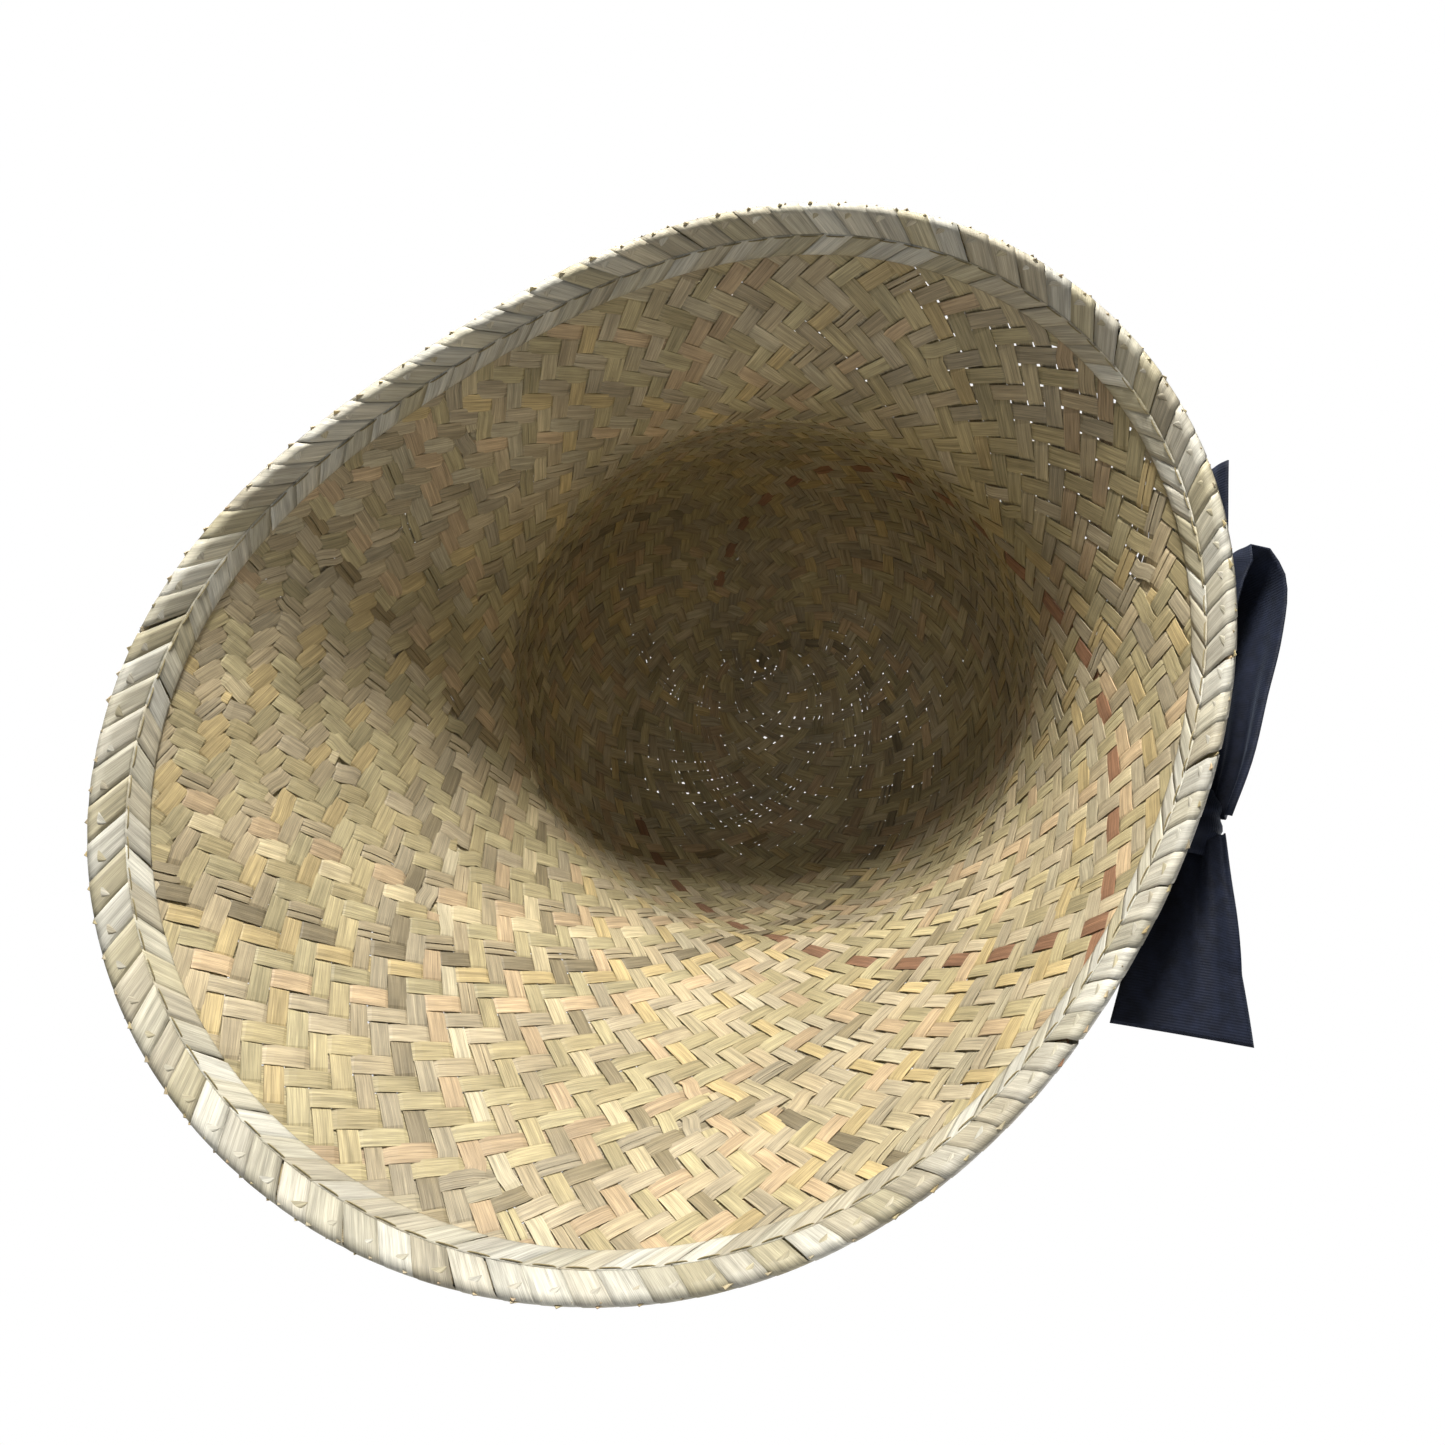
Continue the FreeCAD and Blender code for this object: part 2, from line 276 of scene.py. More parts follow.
# ---- Weaving -------------------------------------------------------------------------------------------
def pitch_at(s):
    """The wanted spacing of crossings round the hat."""
    return float(np.interp(s, (0, 90, hat.crown_length, hat.crown_length + 60),
                           (PITCH_AT_TIP, PITCH_ON_CROWN, PITCH_ON_CROWN + 0.3, PITCH_ON_BRIM)))


def relax_ring(angles, s, turns=6):
    """Evens out the spacing of a ring's crossings, measured round the surface."""
    travelled = hat.round_ring(s)
    total = travelled[-1]
    rows = np.linspace(0, 2 * math.pi, hat.ROWS + 1)
    wholes = np.floor(angles / (2 * math.pi))
    places = np.interp(angles - wholes * 2 * math.pi, rows, travelled) + wholes * total
    for _ in range(turns):
        before = np.concatenate([[places[-1] - total], places[:-1]])
        after = np.concatenate([places[1:], [places[0] + total]])
        places = places / 2 + (before + after) / 4
    wholes = np.floor(places / total)
    return np.interp(places - wholes * total, travelled, rows) + wholes * 2 * math.pi


def add_sources(rng, angles, right, left, extra, next_name):
    """Starts new folded strands in evenly spread gaps of a ring."""
    spots = sorted({int((k + rng.random() * 0.8) / extra * len(angles)) % len(angles) for k in range(extra)},
                   reverse=True)
    angles, right, left = list(angles), list(right), list(left)
    for spot in spots:
        after = angles[spot + 1] if spot + 1 < len(angles) else angles[0] + 2 * math.pi
        angles.insert(spot + 1, (angles[spot] + after) / 2)
        right.insert(spot + 1, next_name)
        left.insert(spot + 1, next_name)
        next_name += 1
    return np.array(angles), right, left, next_name


def weave_paths(rng):
    """Each strand's crossings as (ring, angle, s, room): right-going and left-going strands by name."""
    angles = np.arange(TIP_COUNT) * 2 * math.pi / TIP_COUNT
    right, left = list(range(TIP_COUNT)), list(range(TIP_COUNT))
    next_name = TIP_COUNT
    going = ({}, {})
    s, ring = TIP_RING, 0
    while s < hat.s[-1] - PITCH_ON_BRIM:
        pitch = hat.round_ring(s)[-1] / len(angles)
        rise = pitch_at(s) * RING_SHARE
        room = pitch * rise / math.hypot(pitch / 2, rise)
        for paths, names in zip(going, (right, left)):
            for name, angle in zip(names, angles):
                paths.setdefault(name, []).append((ring, angle, s, room))
        angles = (angles + np.append(angles[1:], angles[0] + 2 * math.pi)) / 2
        left = left[1:] + left[:1]
        s += rise
        ring += 1
        extra = round(hat.round_ring(s)[-1] / pitch_at(s)) - len(angles)
        if extra > 0:
            angles, right, left, next_name = add_sources(rng, angles, right, left, extra, next_name)
        angles = relax_ring(angles, s)
    return going


def strand_samples(path, goes_right):
    """Angle, s, lift and room along a strand: at each crossing, and three times where it dives."""
    ring, angle, s, room = (np.array(column, float) for column in zip(*path))
    angle = np.unwrap(angle)
    over = np.isin(ring.astype(int) % 4, (0, 1)) == goes_right
    lift = np.where(over, 1.0, -1.0)
    back = 0.9 if ring[0] == 0 else SOURCE_REACH
    angle = np.concatenate([[angle[0] - (angle[1] - angle[0]) * back], angle])
    s = np.concatenate([[s[0] - (s[1] - s[0]) * back], s])
    lift = np.concatenate([[lift[0] * 0.3], lift])
    room = np.concatenate([room[:1], room])
    whole = np.arange(len(s), dtype=float)
    dives = whole[:-1][np.diff(lift) != 0]
    places = np.unique(np.concatenate([whole] + [dives + part for part in (0.36, 0.5, 0.64)]))
    angle, s, lift, room = (np.interp(places, whole, column) for column in (angle, s, lift, room))
    return angle, s, np.clip(lift * 2.2, -1.0, 1.0), room


def cut_samples(samples, s_from, s_to):
    """The stretch of a strand between two distances from the tip, cut exactly there."""
    s = samples[1]
    low = np.interp(s_from, s, np.arange(len(s))) if s[0] < s_from else 0.0
    high = np.interp(s_to, s, np.arange(len(s))) if s[-1] > s_to else len(s) - 1.0
    if high - low < 0.5:
        return None
    inner = np.arange(math.floor(low) + 1, math.ceil(high))
    places = np.concatenate([[low], inner, [high]])
    return [np.interp(places, np.arange(len(s)), column) for column in samples]


def rim_cut(samples, margin):
    """Where a strand reaches the rim, less a margin."""
    angle, s = samples[0], samples[1]
    past = s - (hat.rim_at(angle) - margin)
    if past[-1] <= 0:
        return s[-1]
    k = int(np.argmax(past > 0))
    if k == 0:
        return s[0]
    share = past[k - 1] / (past[k - 1] - past[k])
    return s[k - 1] + (s[k] - s[k - 1]) * share


def wobble(rng, places, period, size):
    """Smooth random variation along a strand."""
    knots = np.arange(0, places[-1] + 2 * period, period)
    return np.interp(places, knots, [rng.uniform(-size, size) for _ in knots])


def lay_strand(strips, rng, samples, width_share, shift, colour, seed):
    """Adds one strand, or one half of a split one, to a mesh of strips."""
    angle, s, lift, room = samples
    points, outward = hat.at(angle, s)
    inward = -outward
    tangents = unit(np.gradient(points, axis=0))
    across = unit(np.cross(inward, tangents))
    travelled = np.concatenate([[0], np.cumsum(np.linalg.norm(np.diff(points, axis=0), axis=1))])
    sway = wobble(rng, travelled, 22, 0.16) + shift * room
    centres = points + inward * (lift * STRAND_LIFT)[:, None] + across * sway[:, None]
    widths = room * STRAND_FILL * width_share * (1 + wobble(rng, travelled, 16, 0.05))
    strips.add(centres, inward, widths, colour, STRAND_CROWN * lift, seed,
               roll=wobble(rng, travelled, 12, 0.05), along_from=s[0])


def strand_colour(rng):
    tone = rng.choice(DARK_TONES if rng.random() < 0.03 else STRAW_TONES)
    shade = rng.uniform(0.8, 1.12)
    return [value * shade for value in tone]


def make_weave(material):
    """The woven straw: hundreds of strands that run from the tip to the rim, parted at the crown's base."""
    rng = random.Random(11)
    crown, brim = StripMesh(), StripMesh()
    for goes_right, paths in zip((True, False), weave_paths(rng)):
        for name, path in paths.items():
            if len(path) < 3:
                continue
            samples = strand_samples(path, goes_right)
            rim = rim_cut(samples, 1.8)
            colour, seed = strand_colour(rng), rng.uniform(0, 900)
            share = rng.uniform(0.86, 1.1)
            parts = [(share, 0.0)]
            if rng.random() < SPLIT_SHARE:
                parts = [(share * 0.56, -0.22), (share * 0.36, 0.27)]
            for strips, s_from, s_to in ((crown, 0.0, hat.crown_length), (brim, hat.crown_length, rim)):
                piece = cut_samples(samples, s_from, s_to) if s_to > s_from else None
                if piece is None:
                    continue
                for width_share, shift in parts:
                    lay_strand(strips, random.Random(name * 2 + goes_right), piece, width_share, shift,
                               colour, seed)
    pieces = []
    for strips, name, node in ((crown, "woven_crown", "crown_weave"), (brim, "woven_brim", "brim_weave")):
        piece = strips.make(name, 0.32, material, smooth=False)
        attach(piece, HAT)
        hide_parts(node)
        pieces.append(piece)
    return pieces


# ---- The plait on the edge -----------------------------------------------------------------------------
class Rim:
    """Places on the plait: a distance u round the rim and a distance c over its fold, inside negative."""
    def __init__(self):
        rows = np.linspace(0, 2 * math.pi, 721)
        points = rim_points(rows)
        self.travelled = np.concatenate([[0], np.cumsum(np.linalg.norm(np.diff(points, axis=0), axis=1))])
        self.rows = rows
        self.length = self.travelled[-1]

    def angle(self, u):
        return np.interp(np.mod(u, self.length), self.travelled, self.rows)

    def place(self, u, c, lift):
        """Points on the plait, lifted off its middle layer, and the way they face."""
        u, c, lift = np.broadcast_arrays(np.asarray(u, float), np.asarray(c, float), np.asarray(lift, float))
        angle = self.angle(u)
        quarter = (PLAIT_RADIUS + FOLD_DEPTH) * math.pi / 4
        bend = np.clip(c / quarter, -1, 1) * math.pi / 2
        straight = np.maximum(np.abs(c) - quarter, 0)
        up = BRAID_THICKNESS / 2 + FOLD_DEPTH * (1 - np.cos(bend)) + straight
        s = hat.rim_at(angle) - up
        points, outward = hat.at(angle, s)
        lower, _ = hat.at(angle, s + 1.0)
        down = unit(lower - points)
        side, under = np.sin(bend)[..., None], np.cos(bend)[..., None]
        facing = unit(outward * side * FOLD_DEPTH + down * under * PLAIT_RADIUS)
        return points + outward * side * PLAIT_RADIUS + facing * lift[..., None], facing


rim = Rim()


def plait_row(strips, rng, c_from, c_to, slant, lifts, roll, share=1.03, taper=None, offset=0.0):
    """A row of slanted facets round the rim; slant is how far each moves round per distance across."""
    pitch = rim.length / PLAIT_COUNT
    q = np.linspace(0, 1, 13)
    side = np.linspace(-1, 1, 5)
    c = c_from + (c_to - c_from) * q[:, None]
    narrowing = np.ones_like(q) if taper is None else np.interp(q, np.linspace(0, 1, len(taper)), taper)
    rise = np.interp(q, np.linspace(0, 1, len(lifts)), lifts)[:, None]
    for i in range(PLAIT_COUNT):
        lean = slant * rng.uniform(0.9, 1.1)
        half = pitch * share * rng.uniform(0.94, 1.04) / 2 * narrowing[:, None]
        u = (i + offset + rng.uniform(-0.05, 0.05)) * pitch + lean * (c - c_from) + half * side
        lift = rise + rng.uniform(-0.03, 0.03) + roll * side + 0.03 * (1 - side ** 2)
        points, _ = rim.place(u, c, lift)
        shade = rng.uniform(0.86, 1.1)
        colour = [value * shade for value in rng.choice(PLAIT_TONES)]
        slope = math.atan(lean)
        across = np.broadcast_to(half * side * math.cos(slope), u.shape)
        along = np.broadcast_to((c - c_from) / math.cos(slope), u.shape) + half * side * math.sin(slope)
        strips.add_grid(points, across, along, colour, rng.uniform(0, 900))


def make_plait(material):
    """The plait: broad facets folded over the edge, and a row slanting the other way above them."""
    rng = random.Random(5)
    strips = StripMesh()
    for side in (-1, 1):
        plait_row(strips, rng, side * (PLAIT_BREAK - 0.8), side * PLAIT_REACH, 1.25 * -side,
                  (0.05, 0.12, 0.12, 0.08, -0.35), 0.07)
    plait_row(strips, rng, -PLAIT_BREAK, PLAIT_BREAK, -0.72, (-0.2, *[0.14] * 6, -0.2), 0.07)
    plait_row(strips, rng, -4.4, -1.6, 0.85, (0.16, 0.18, 0.14, 0.0), 0.0, share=0.34,
              taper=(0.05, 0.6, 1.0, 0.5), offset=0.2)
    piece = strips.make("edge_plait", 0.35, material)
    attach(piece, HAT)
    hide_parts("edge_braid")
    return piece


def tube(points, radius, sides=8):
    """Points and faces of a round tube along a line, closed at both ends."""
    points = np.asarray(points)
    tangents = unit(np.gradient(points, axis=0))
    first = unit(np.cross(tangents, LEAN))
    second = np.cross(tangents, first)
    turn = np.arange(sides) * 2 * math.pi / sides
    rings = (points[:, None] + first[:, None] * np.cos(turn)[None, :, None] * radius
             + second[:, None] * np.sin(turn)[None, :, None] * radius)
    faces = [(i * sides + j, i * sides + (j + 1) % sides,
              (i + 1) * sides + (j + 1) % sides, (i + 1) * sides + j)
             for i in range(len(points) - 1) for j in range(sides)]
    faces.append(tuple(range(sides))[::-1])
    faces.append(tuple((len(points) - 1) * sides + j for j in range(sides)))
    return rings.reshape(-1, 3), faces


def add_mesh(name, parts, material, body=HAT):
    """One object from several (points, faces) parts; a piece given no body is left unattached."""
    points, faces, start = [], [], 0
    for part_points, part_faces in parts:
        points.append(part_points)
        faces += [tuple(start + k for k in face) for face in part_faces]
        start += len(part_points)
    mesh = bpy.data.meshes.new(name)
    mesh.from_pydata((np.concatenate(points) * MM).tolist(), [], faces)
    mesh.polygons.foreach_set("use_smooth", [True] * len(mesh.polygons))
    mesh.materials.append(material)
    piece = bpy.data.objects.new(name, mesh)
    bpy.context.scene.collection.objects.link(piece)
    if body:
        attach(piece, body)
    return piece


def make_stitches(material):
    """The running stitches between the plait's rows, each dipping in at its ends."""
    pitch = rim.length / STITCH_COUNT
    q = np.linspace(-1, 1, 7)
    parts = []
    for i in range(STITCH_COUNT):
        u = i * pitch + q * pitch * 0.42
        points, _ = rim.place(u, np.full_like(q, -PLAIT_BREAK + 0.3), 0.62 - 0.75 * q ** 4)
        parts.append(tube(points, 0.17))
    piece = add_mesh("edge_stitches", parts, material)
    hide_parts("braid_stitches")
    return piece


# ---- Ribbon --------------------------------------------------------------------------------------------
def smooth_line(points, count):
    """Evenly spread points on a smooth curve through a few given ones."""
    points = np.asarray(points, float)
    ends = np.concatenate([[2 * points[0] - points[1]], points, [2 * points[-1] - points[-2]]])
    line = []
    for k in range(1, len(ends) - 2):
        p0, p1, p2, p3 = ends[k - 1:k + 3]
        for t in np.arange(12) / 12:
            line.append(0.5 * (2 * p1 + (p2 - p0) * t + (2 * p0 - 5 * p1 + 4 * p2 - p3) * t ** 2
                               + (3 * p1 - p0 - 3 * p2 + p3) * t ** 3))
    line.append(points[-1])
    line = np.array(line)
    travelled = np.concatenate([[0], np.cumsum(np.linalg.norm(np.diff(line, axis=0), axis=1))])
    places = np.linspace(0, travelled[-1], count)
    return np.stack([np.interp(places, travelled, line[:, k]) for k in range(line.shape[1])], axis=1)


def sheet_grid(first_edge, second_edge, columns, bow=0.0, pleats=0.0, pleat_count=3, fade=None):
    """A grid between two edges of a ribbon, bowed and pleated across its width."""
    rows = len(first_edge)
    across = second_edge - first_edge
    tangents = unit(np.gradient((first_edge + second_edge) / 2, axis=0))
    facing = unit(np.cross(tangents, across))
    q = np.linspace(0, 1, columns)
    fade = np.ones(rows) if fade is None else np.asarray(fade)
    wave = bow * 4 * q * (1 - q)
    fold = pleats * np.sin(q * math.pi * 2 * pleat_count)
    lift = wave[None] + fold[None] * fade[:, None]
    grid = first_edge[:, None] + across[:, None] * q[None, :, None] + facing[:, None] * lift[..., None]
    return grid


def add_sheet(name, grid, material, node, body=HAT, thickness=0.45):
    """A ribbon sheet from a grid of points, with a grain coordinate along and across it and a thickness."""
    rows, columns = grid.shape[:2]
    faces = [(i * columns + j, i * columns + j + 1, (i + 1) * columns + j + 1, (i + 1) * columns + j)
             for i in range(rows - 1) for j in range(columns - 1)]
    piece = add_mesh(name, [(grid.reshape(-1, 3), faces)], material, body)
    ribs = piece.data.attributes.new("grain", "FLOAT_VECTOR", "POINT")
    travelled = np.zeros((rows, columns, 3))
    steps = np.linalg.norm(np.diff(grid, axis=0), axis=2).mean(1)
    travelled[..., 1] = np.concatenate([[0], np.cumsum(steps)])[:, None]
    travelled[..., 0] = (np.linspace(-0.5, 0.5, columns)[None] * RIBBON_WIDTH)
    travelled[..., 2] = len(name)
    ribs.data.foreach_set("vector", travelled.astype(np.float32).ravel())
    solid = piece.modifiers.new("thickness", "SOLIDIFY")
    solid.thickness, solid.offset = thickness * MM, 0
    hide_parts(node)
    return piece


def from_rim(places):
    return np.asarray(places, float) + RIM_CENTRE


def make_hatband(material):
    """The band round the foot of the crown."""
    q = np.linspace(0, 1, 13)
    angles = np.linspace(0, 2 * math.pi, 181)
    s_foot = hat.crown_length - BAND_FOOT
    grid = []
    for angle in angles:
        slack = 0.35 * math.sin(angle * 5) + 0.2 * math.sin(angle * 13 + 1)
        s = s_foot - RIBBON_WIDTH * q
        points, outward = hat.at(np.full_like(q, angle), s)
        stand = STRAW_THICKNESS / 2 + 0.55 + slack * 0.4 * np.sin(q * math.pi)
        grid.append(points + outward * stand[:, None])
    grid = np.array(grid)
    return add_sheet("hatband_ribbon", grid, material, "hatband")


def strip_sheet(name, path, widths, directions, material, node, body=HAT, pleats=1.5, bow=1.0):
    """A ribbon run given by its middle line, its widths and the direction across it."""
    rows = 41
    line = smooth_line(from_rim(path), rows)
    spread = np.linspace(0, len(widths) - 1, rows)
    width = smooth_line(np.asarray(widths, float)[:, None], rows)[:, 0]
    across = np.stack([np.interp(spread, np.arange(len(directions)), np.asarray(directions, float)[:, k])
                       for k in range(3)], axis=1)
    tangents = unit(np.gradient(line, axis=0))
    across = unit(across - tangents * (across * tangents).sum(1, keepdims=True))
    first = line - across * width[:, None] / 2
    second = line + across * width[:, None] / 2
    fade = np.clip((RIBBON_WIDTH - width) / (RIBBON_WIDTH * 0.6), 0.0, 1.0)
    grid = sheet_grid(first, second, 25, bow=bow, pleats=pleats, fade=fade)
    return add_sheet(name, grid, material, node, body)


def make_bow(material):
    """The bow beside the brim: two loops and two tails. The front tail is left on no body, with its transform
    baked into its points.
    """
    strip_sheet("bow_back_loop",
                [(-118, 89, 27), (-110, 105, 28), (-100, 121, 30), (-91, 135, 31), (-81, 147, 32),
                 (-70, 152, 32), (-71, 144, 32), (-79, 132, 33), (-89, 118, 34), (-99, 104, 34), (-109, 92, 34)],
                [19, 27, 33, 37, 38, 38, 38, 38, 33, 25, 15], [DOWN_SIDE] * 11,
                material, "bow_loop_back")
    strip_sheet("bow_front_loop",
                [(-118, 74, 40), (-124, 58, 50), (-127, 43, 55), (-126, 28, 56), (-121, 21, 56),
                 (-116, 26, 56), (-114, 40, 55), (-113, 55, 50), (-112, 72, 42)],
                [15, 24, 34, 38, 38, 38, 34, 24, 15], [DOWN_SIDE] * 9,
                material, "bow_loop_front")
    strip_sheet("back_tail",
                [(-104, 94, 30), (-89, 112, 26), (-71, 133, 23), (-45, 156, 20)],
                [12, 22, 30, 34], [DOWN_SIDE] * 4,
                material, "ribbon_tail_back", pleats=2.2)
    tail = strip_sheet("front_tail",
                       [(-119, 83, 26), (-127, 69, 23), (-137, 54, 19), (-150, 37, 17)],
                       [16, 26, 34, 38], [(-0.55, 0.25, -0.8), (-0.8, 0.3, -0.5), OUT_FLAT, OUT_FLAT],
                       material, "ribbon_tail_front", body=None)
    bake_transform(tail)


def make_knot(material):
    """The gathered wrap at the bow's middle."""
    rows, columns = 49, 15
    turn = np.linspace(0, 2 * math.pi, rows)
    q = np.linspace(-1, 1, columns)
    side = unit(np.array([KNOT_PLACE[0], KNOT_PLACE[1], 0.0]))
    along = np.array([-side[1], side[0], 0.0])
    up = np.array([0.0, 0.0, 1.0])
    grid = np.zeros((rows, columns, 3))
    for j, place in enumerate(q):
        swell = 1 - 0.28 * place ** 2
        crease = 1 + 0.05 * np.sin(place * 9 + np.cos(turn * 2))
        radius = swell * crease
        ring = (side * np.cos(turn)[:, None] * 9.0 + up * np.sin(turn)[:, None] * 11.0) * radius[:, None]
        grid[:, j] = from_rim(KNOT_PLACE) + ring + along * place * 9.5 + np.array([-1.5, 0.5, -3.0])
    return add_sheet("bow_wrap", grid, material, "bow_knot")


def make_band_ends(material):
    """The band's ends, running from under the band down to the knot, as one sheet each."""
    for name, side in (("band_end_back", 1), ("band_end_front", -1)):
        strip_sheet(name, [(-90, 72 + 12 * side, 112), (-98, 75 + 10 * side, 92), (-105, 79 + 7 * side, 68),
                           (-113, 83 + 4 * side, 40)],
                    [18, 16, 11, 8], [(0.35, 0.94, 0.0)] * 4, material, "band_ends",
                    pleats=0.9)


# ---- Materials -----------------------------------------------------------------------------------------
class Nodes:
    """A small helper for building node materials."""
    def __init__(self, name):
        self.material = bpy.data.materials.new(name)
        self.material.use_nodes = True
        self.tree = self.material.node_tree
        self.shader = self.tree.nodes["Principled BSDF"]

    def add(self, kind, **settings):
        node = self.tree.nodes.new(kind)
        for key, value in settings.items():
            setattr(node, key, value)
        return node

    def link(self, out, into):
        self.tree.links.new(out, into)

    def attribute(self, name):
        return self.add("ShaderNodeAttribute", attribute_name=name)

    def scaled(self, vector, scale):
        node = self.add("ShaderNodeVectorMath", operation="MULTIPLY")
        self.link(vector, node.inputs[0])
        node.inputs[1].default_value = scale
        return node.outputs[0]

    def noise(self, vector, detail=4.0, roughness=0.6):
        node = self.add("ShaderNodeTexNoise")
        node.inputs["Scale"].default_value = 1.0
        node.inputs["Detail"].default_value = detail
        node.inputs["Roughness"].default_value = roughness
        self.link(vector, node.inputs["Vector"])
        return node.outputs["Fac"]

    def spread(self, value, low, high, to_low, to_high):
        node = self.add("ShaderNodeMapRange")
        self.link(value, node.inputs["Value"])
        for key, number in zip(("From Min", "From Max", "To Min", "To Max"), (low, high, to_low, to_high)):
            node.inputs[key].default_value = number
        return node.outputs["Result"]

    def math(self, operation, first, second):
        node = self.add("ShaderNodeMath", operation=operation)
        for socket, value in zip(node.inputs, (first, second)):
            if isinstance(value, (int, float)):
                socket.default_value = value
            else:
                self.link(value, socket)
        return node.outputs[0]


def mix_colours(nodes, factor, first, second, blend="MIX"):
    """Mixes two colours; either may be a fixed (r, g, b, 1)."""
    node = nodes.add("ShaderNodeMix", data_type="RGBA", blend_type=blend)
    for index, value in ((0, factor), (6, first), (7, second)):
        socket = node.inputs[index]
        if isinstance(value, (int, float, tuple)):
            socket.default_value = value
        else:
            nodes.link(value, socket)
    return node.outputs[2]


def straw_material(name, streak_low, stain_low, roughness):
    """Dried palm strand: its own tone, fibres along it, paler and darker streaks, and stains."""
    nodes = Nodes(name)
    tone = nodes.attribute("strand_colour").outputs["Color"]
    grain = nodes.attribute("grain").outputs["Vector"]
    fibres = nodes.noise(nodes.scaled(grain, (5.5, 0.10, 1.0)), detail=3.0)
    broad = nodes.noise(nodes.scaled(grain, (0.9, 0.045, 1.0)), detail=2.0)
    place = nodes.add("ShaderNodeTexCoord").outputs["Object"]
    stain = nodes.noise(nodes.scaled(place, (38.0, 38.0, 38.0)), detail=3.0)
    streaked = mix_colours(nodes, 1.0, tone, nodes.spread(fibres, 0.32, 0.68, streak_low, 1.16), "MULTIPLY")
    banded = mix_colours(nodes, 1.0, streaked, nodes.spread(broad, 0.3, 0.7, 0.74, 1.2), "MULTIPLY")
    stained = mix_colours(nodes, 1.0, banded, nodes.spread(stain, 0.35, 0.65, stain_low, 1.08), "MULTIPLY")
    nodes.link(stained, nodes.shader.inputs["Base Color"])
    nodes.link(nodes.spread(fibres, 0.3, 0.7, roughness + 0.12, roughness - 0.1),
               nodes.shader.inputs["Roughness"])
    bump = nodes.add("ShaderNodeBump")
    bump.inputs["Strength"].default_value = 0.55
    bump.inputs["Distance"].default_value = 0.0002
    nodes.link(fibres, bump.inputs["Height"])
    nodes.link(bump.outputs["Normal"], nodes.shader.inputs["Normal"])
    nodes.shader.inputs["Specular IOR Level"].default_value = 0.35
    return nodes.material


def ribbon_material():
    """Dark navy woven ribbon: fine ribs across it, a dull sheen and slightly worn lights."""
    nodes = Nodes("navy_ribbon")
    grain = nodes.attribute("grain").outputs["Vector"]
    parts = nodes.add("ShaderNodeSeparateXYZ")
    nodes.link(grain, parts.inputs[0])
    ribs = nodes.math("SINE", nodes.math("MULTIPLY", parts.outputs["Y"], 2 * math.pi / 0.75), 0.0)
    worn = nodes.noise(nodes.scaled(grain, (0.25, 0.25, 1.0)), detail=4.0)
    threads = nodes.noise(nodes.scaled(grain, (9.0, 0.9, 1.0)), detail=2.0)
    base = mix_colours(nodes, nodes.spread(worn, 0.35, 0.7, 0.0, 1.0), (0.004, 0.006, 0.014, 1.0),
                       (0.009, 0.013, 0.030, 1.0))
    nodes.link(base, nodes.shader.inputs["Base Color"])
    nodes.link(nodes.spread(threads, 0.3, 0.7, 0.62, 0.8), nodes.shader.inputs["Roughness"])
    nodes.shader.inputs["Specular IOR Level"].default_value = 0.25
    height = nodes.math("ADD", nodes.math("MULTIPLY", ribs, 0.5), threads)
    bump = nodes.add("ShaderNodeBump")
    bump.inputs["Strength"].default_value = 0.5
    bump.inputs["Distance"].default_value = 0.00012
    nodes.link(height, bump.inputs["Height"])
    nodes.link(bump.outputs["Normal"], nodes.shader.inputs["Normal"])
    nodes.shader.inputs["Sheen Weight"].default_value = 0.12
    nodes.shader.inputs["Sheen Roughness"].default_value = 0.4
    nodes.shader.inputs["Sheen Tint"].default_value = (0.55, 0.65, 0.85, 1.0)
    return nodes.material


def thread_material():
    nodes = Nodes("sewing_thread")
    place = nodes.add("ShaderNodeTexCoord").outputs["Object"]
    twist = nodes.noise(nodes.scaled(place, (2600.0, 2600.0, 2600.0)), detail=2.0)
    base = mix_colours(nodes, twist, (0.16, 0.13, 0.06, 1.0), (0.28, 0.23, 0.12, 1.0))
    nodes.link(base, nodes.shader.inputs["Base Color"])
    nodes.link(nodes.spread(twist, 0.3, 0.7, 0.7, 0.95), nodes.shader.inputs["Roughness"])
    return nodes.material


# ---- Stage ---------------------------------------------------------------------------------------------
BACKDROP_STRENGTH = 1.0       # as the camera sees it; the light it gives is set apart


def make_floor():
    """A pale floor that shows from above only, so the hat can be seen and lit from below."""
    nodes = Nodes("pale_floor")
    nodes.shader.inputs["Base Color"].default_value = (0.3, 0.3, 0.3, 1.0)
    nodes.shader.inputs["Roughness"].default_value = 1.0
    nodes.shader.inputs["Specular IOR Level"].default_value = 0.0
    nodes.shader.inputs["Emission Color"].default_value = (0.62, 0.62, 0.61, 1.0)
    nodes.shader.inputs["Emission Strength"].default_value = 1.0
    side = nodes.add("ShaderNodeNewGeometry")
    clear = nodes.add("ShaderNodeBsdfTransparent")
    choose = nodes.add("ShaderNodeMixShader")
    nodes.link(side.outputs["Backfacing"], choose.inputs["Fac"])
    nodes.link(nodes.shader.outputs["BSDF"], choose.inputs[1])
    nodes.link(clear.outputs["BSDF"], choose.inputs[2])
    nodes.link(choose.outputs["Shader"], nodes.tree.nodes["Material Output"].inputs["Surface"])
    mesh = bpy.data.meshes.new("floor")
    reach = 3.0
    mesh.from_pydata([(-reach, -reach, -0.0005), (reach, -reach, -0.0005), (reach, reach, -0.0005),
                      (-reach, reach, -0.0005)], [], [(0, 1, 2, 3)])
    mesh.materials.append(nodes.material)
    floor = bpy.data.objects.new("floor", mesh)
    bpy.context.scene.collection.objects.link(floor)
    for rays in ("visible_diffuse", "visible_glossy", "visible_transmission", "visible_shadow"):
        setattr(floor, rays, False)


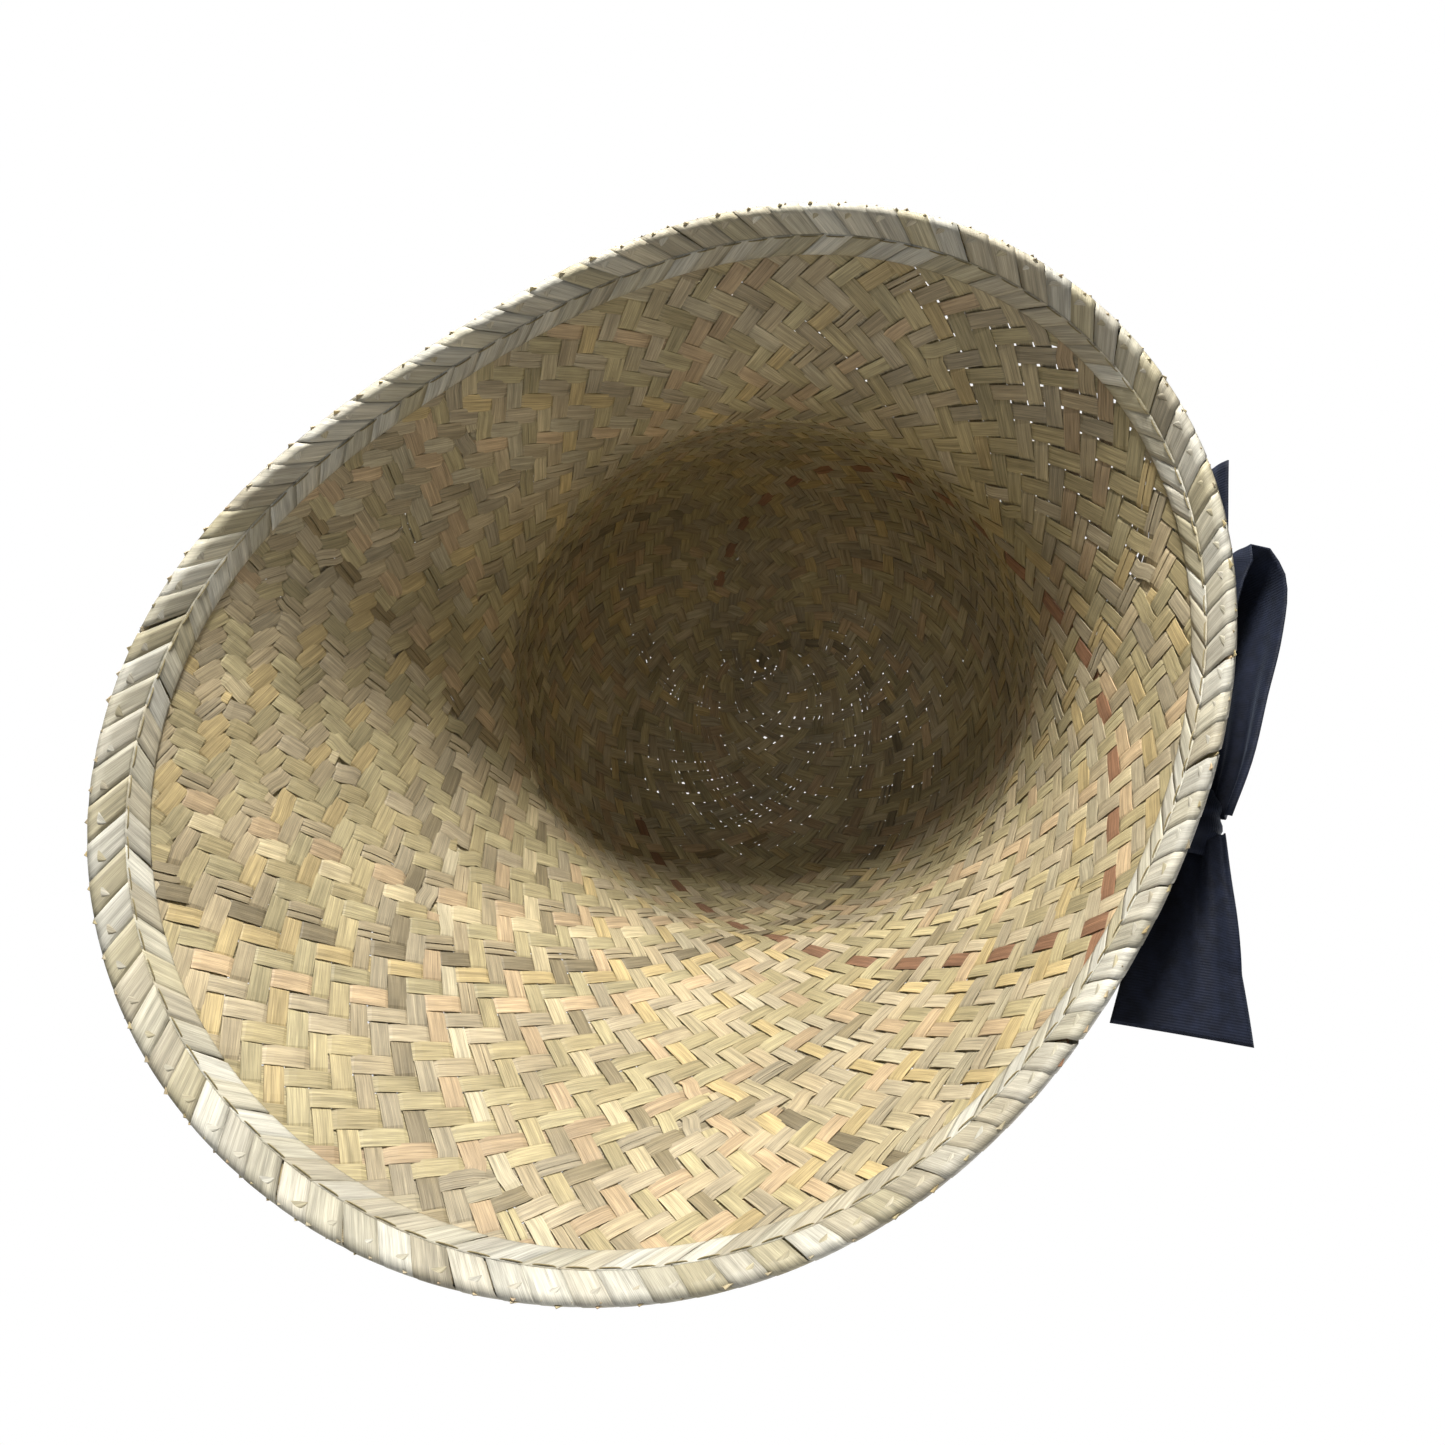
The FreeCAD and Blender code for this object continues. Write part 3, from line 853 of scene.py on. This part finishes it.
CAMERA_PLACE = np.array([-48.7, -48.0, -291.0])        # from the rim's centre
CAMERA_RIGHT = np.array([-0.67791, 0.73434, -0.03439])
CAMERA_UP = np.array([0.72324, 0.65781, -0.21026])
FRAME_PIXELS = 1445
FOCAL_PIXELS = 1150


def make_camera():
    """The view from below, up into the crown."""
    data = bpy.data.cameras.new("camera")
    data.sensor_width = 36.0
    data.lens = FOCAL_PIXELS / FRAME_PIXELS * data.sensor_width
    data.clip_start = 0.01
    camera = bpy.data.objects.new("camera", data)
    back = np.cross(CAMERA_RIGHT, CAMERA_UP)
    place = (RIM_CENTRE + CAMERA_PLACE) * MM
    axes = np.stack([CAMERA_RIGHT, CAMERA_UP, back], axis=1)
    camera.matrix_world = Matrix([[*row, where] for row, where in zip(axes, place)] + [[0, 0, 0, 1]])
    bpy.context.scene.collection.objects.link(camera)
    bpy.context.scene.camera = camera


def add_light(name, place, target, size, power, colour=(1, 1, 1)):
    """A soft square lamp."""
    data = bpy.data.lights.new(name, "AREA")
    data.size = size
    data.energy = power
    data.color = colour
    lamp = bpy.data.objects.new(name, data)
    lamp.location = Vector(place)
    lamp.rotation_mode = "QUATERNION"
    lamp.rotation_quaternion = (Vector(target) - Vector(place)).to_track_quat("-Z", "Y")
    bpy.context.scene.collection.objects.link(lamp)


def light_the_stage():
    world = bpy.data.worlds.new("studio")
    world.use_nodes = True
    tree = world.node_tree
    ambient = tree.nodes["Background"]
    ambient.inputs["Color"].default_value = (1.0, 1.0, 1.0, 1.0)
    ambient.inputs["Strength"].default_value = 0.16
    backdrop = tree.nodes.new("ShaderNodeBackground")
    backdrop.inputs["Strength"].default_value = BACKDROP_STRENGTH
    seen = tree.nodes.new("ShaderNodeLightPath")
    choose = tree.nodes.new("ShaderNodeMixShader")
    tree.links.new(seen.outputs["Is Camera Ray"], choose.inputs["Fac"])
    tree.links.new(ambient.outputs["Background"], choose.inputs[1])
    tree.links.new(backdrop.outputs["Background"], choose.inputs[2])
    tree.links.new(choose.outputs["Shader"], tree.nodes["World Output"].inputs["Surface"])
    backdrop.inputs["Color"].default_value = (1.0, 1.0, 1.0, 1.0)
    bpy.context.scene.world = world
    bpy.context.scene.view_settings.view_transform = "Standard"
    middle = RIM_CENTRE * MM
    back = np.cross(CAMERA_RIGHT, CAMERA_UP)
    key = middle + (CAMERA_UP * 0.74 + back * 0.27)
    add_light("key_below", key, middle, 0.22, 17.5, (1.0, 0.985, 0.95))
    fill = middle + (CAMERA_UP * 0.35 - CAMERA_RIGHT * 0.25 + back * 0.7)
    add_light("fill_below", fill, middle, 0.5, 0.7)
    add_light("low_below", middle + (back * 0.3 - CAMERA_UP * 0.7), middle, 0.3, 2.4)
    add_light("key_above", (0.5, -0.7, 0.9), (0, 0, 0.08), 0.6, 14.0)
    add_light("fill_above", (-0.9, 0.3, 0.6), (0, 0, 0.1), 0.7, 6.0)


# ---- Build ---------------------------------------------------------------------------------------------
make_camera()
light_the_stage()
make_floor()
straw = straw_material("woven_straw", 0.62, 0.86, 0.56)
plait_straw = straw_material("plait_straw", 0.72, 0.9, 0.6)
ribbon = ribbon_material()
make_weave(straw)
make_plait(plait_straw)
make_stitches(thread_material())
make_hatband(ribbon)
make_bow(ribbon)
make_knot(ribbon)
make_band_ends(ribbon)
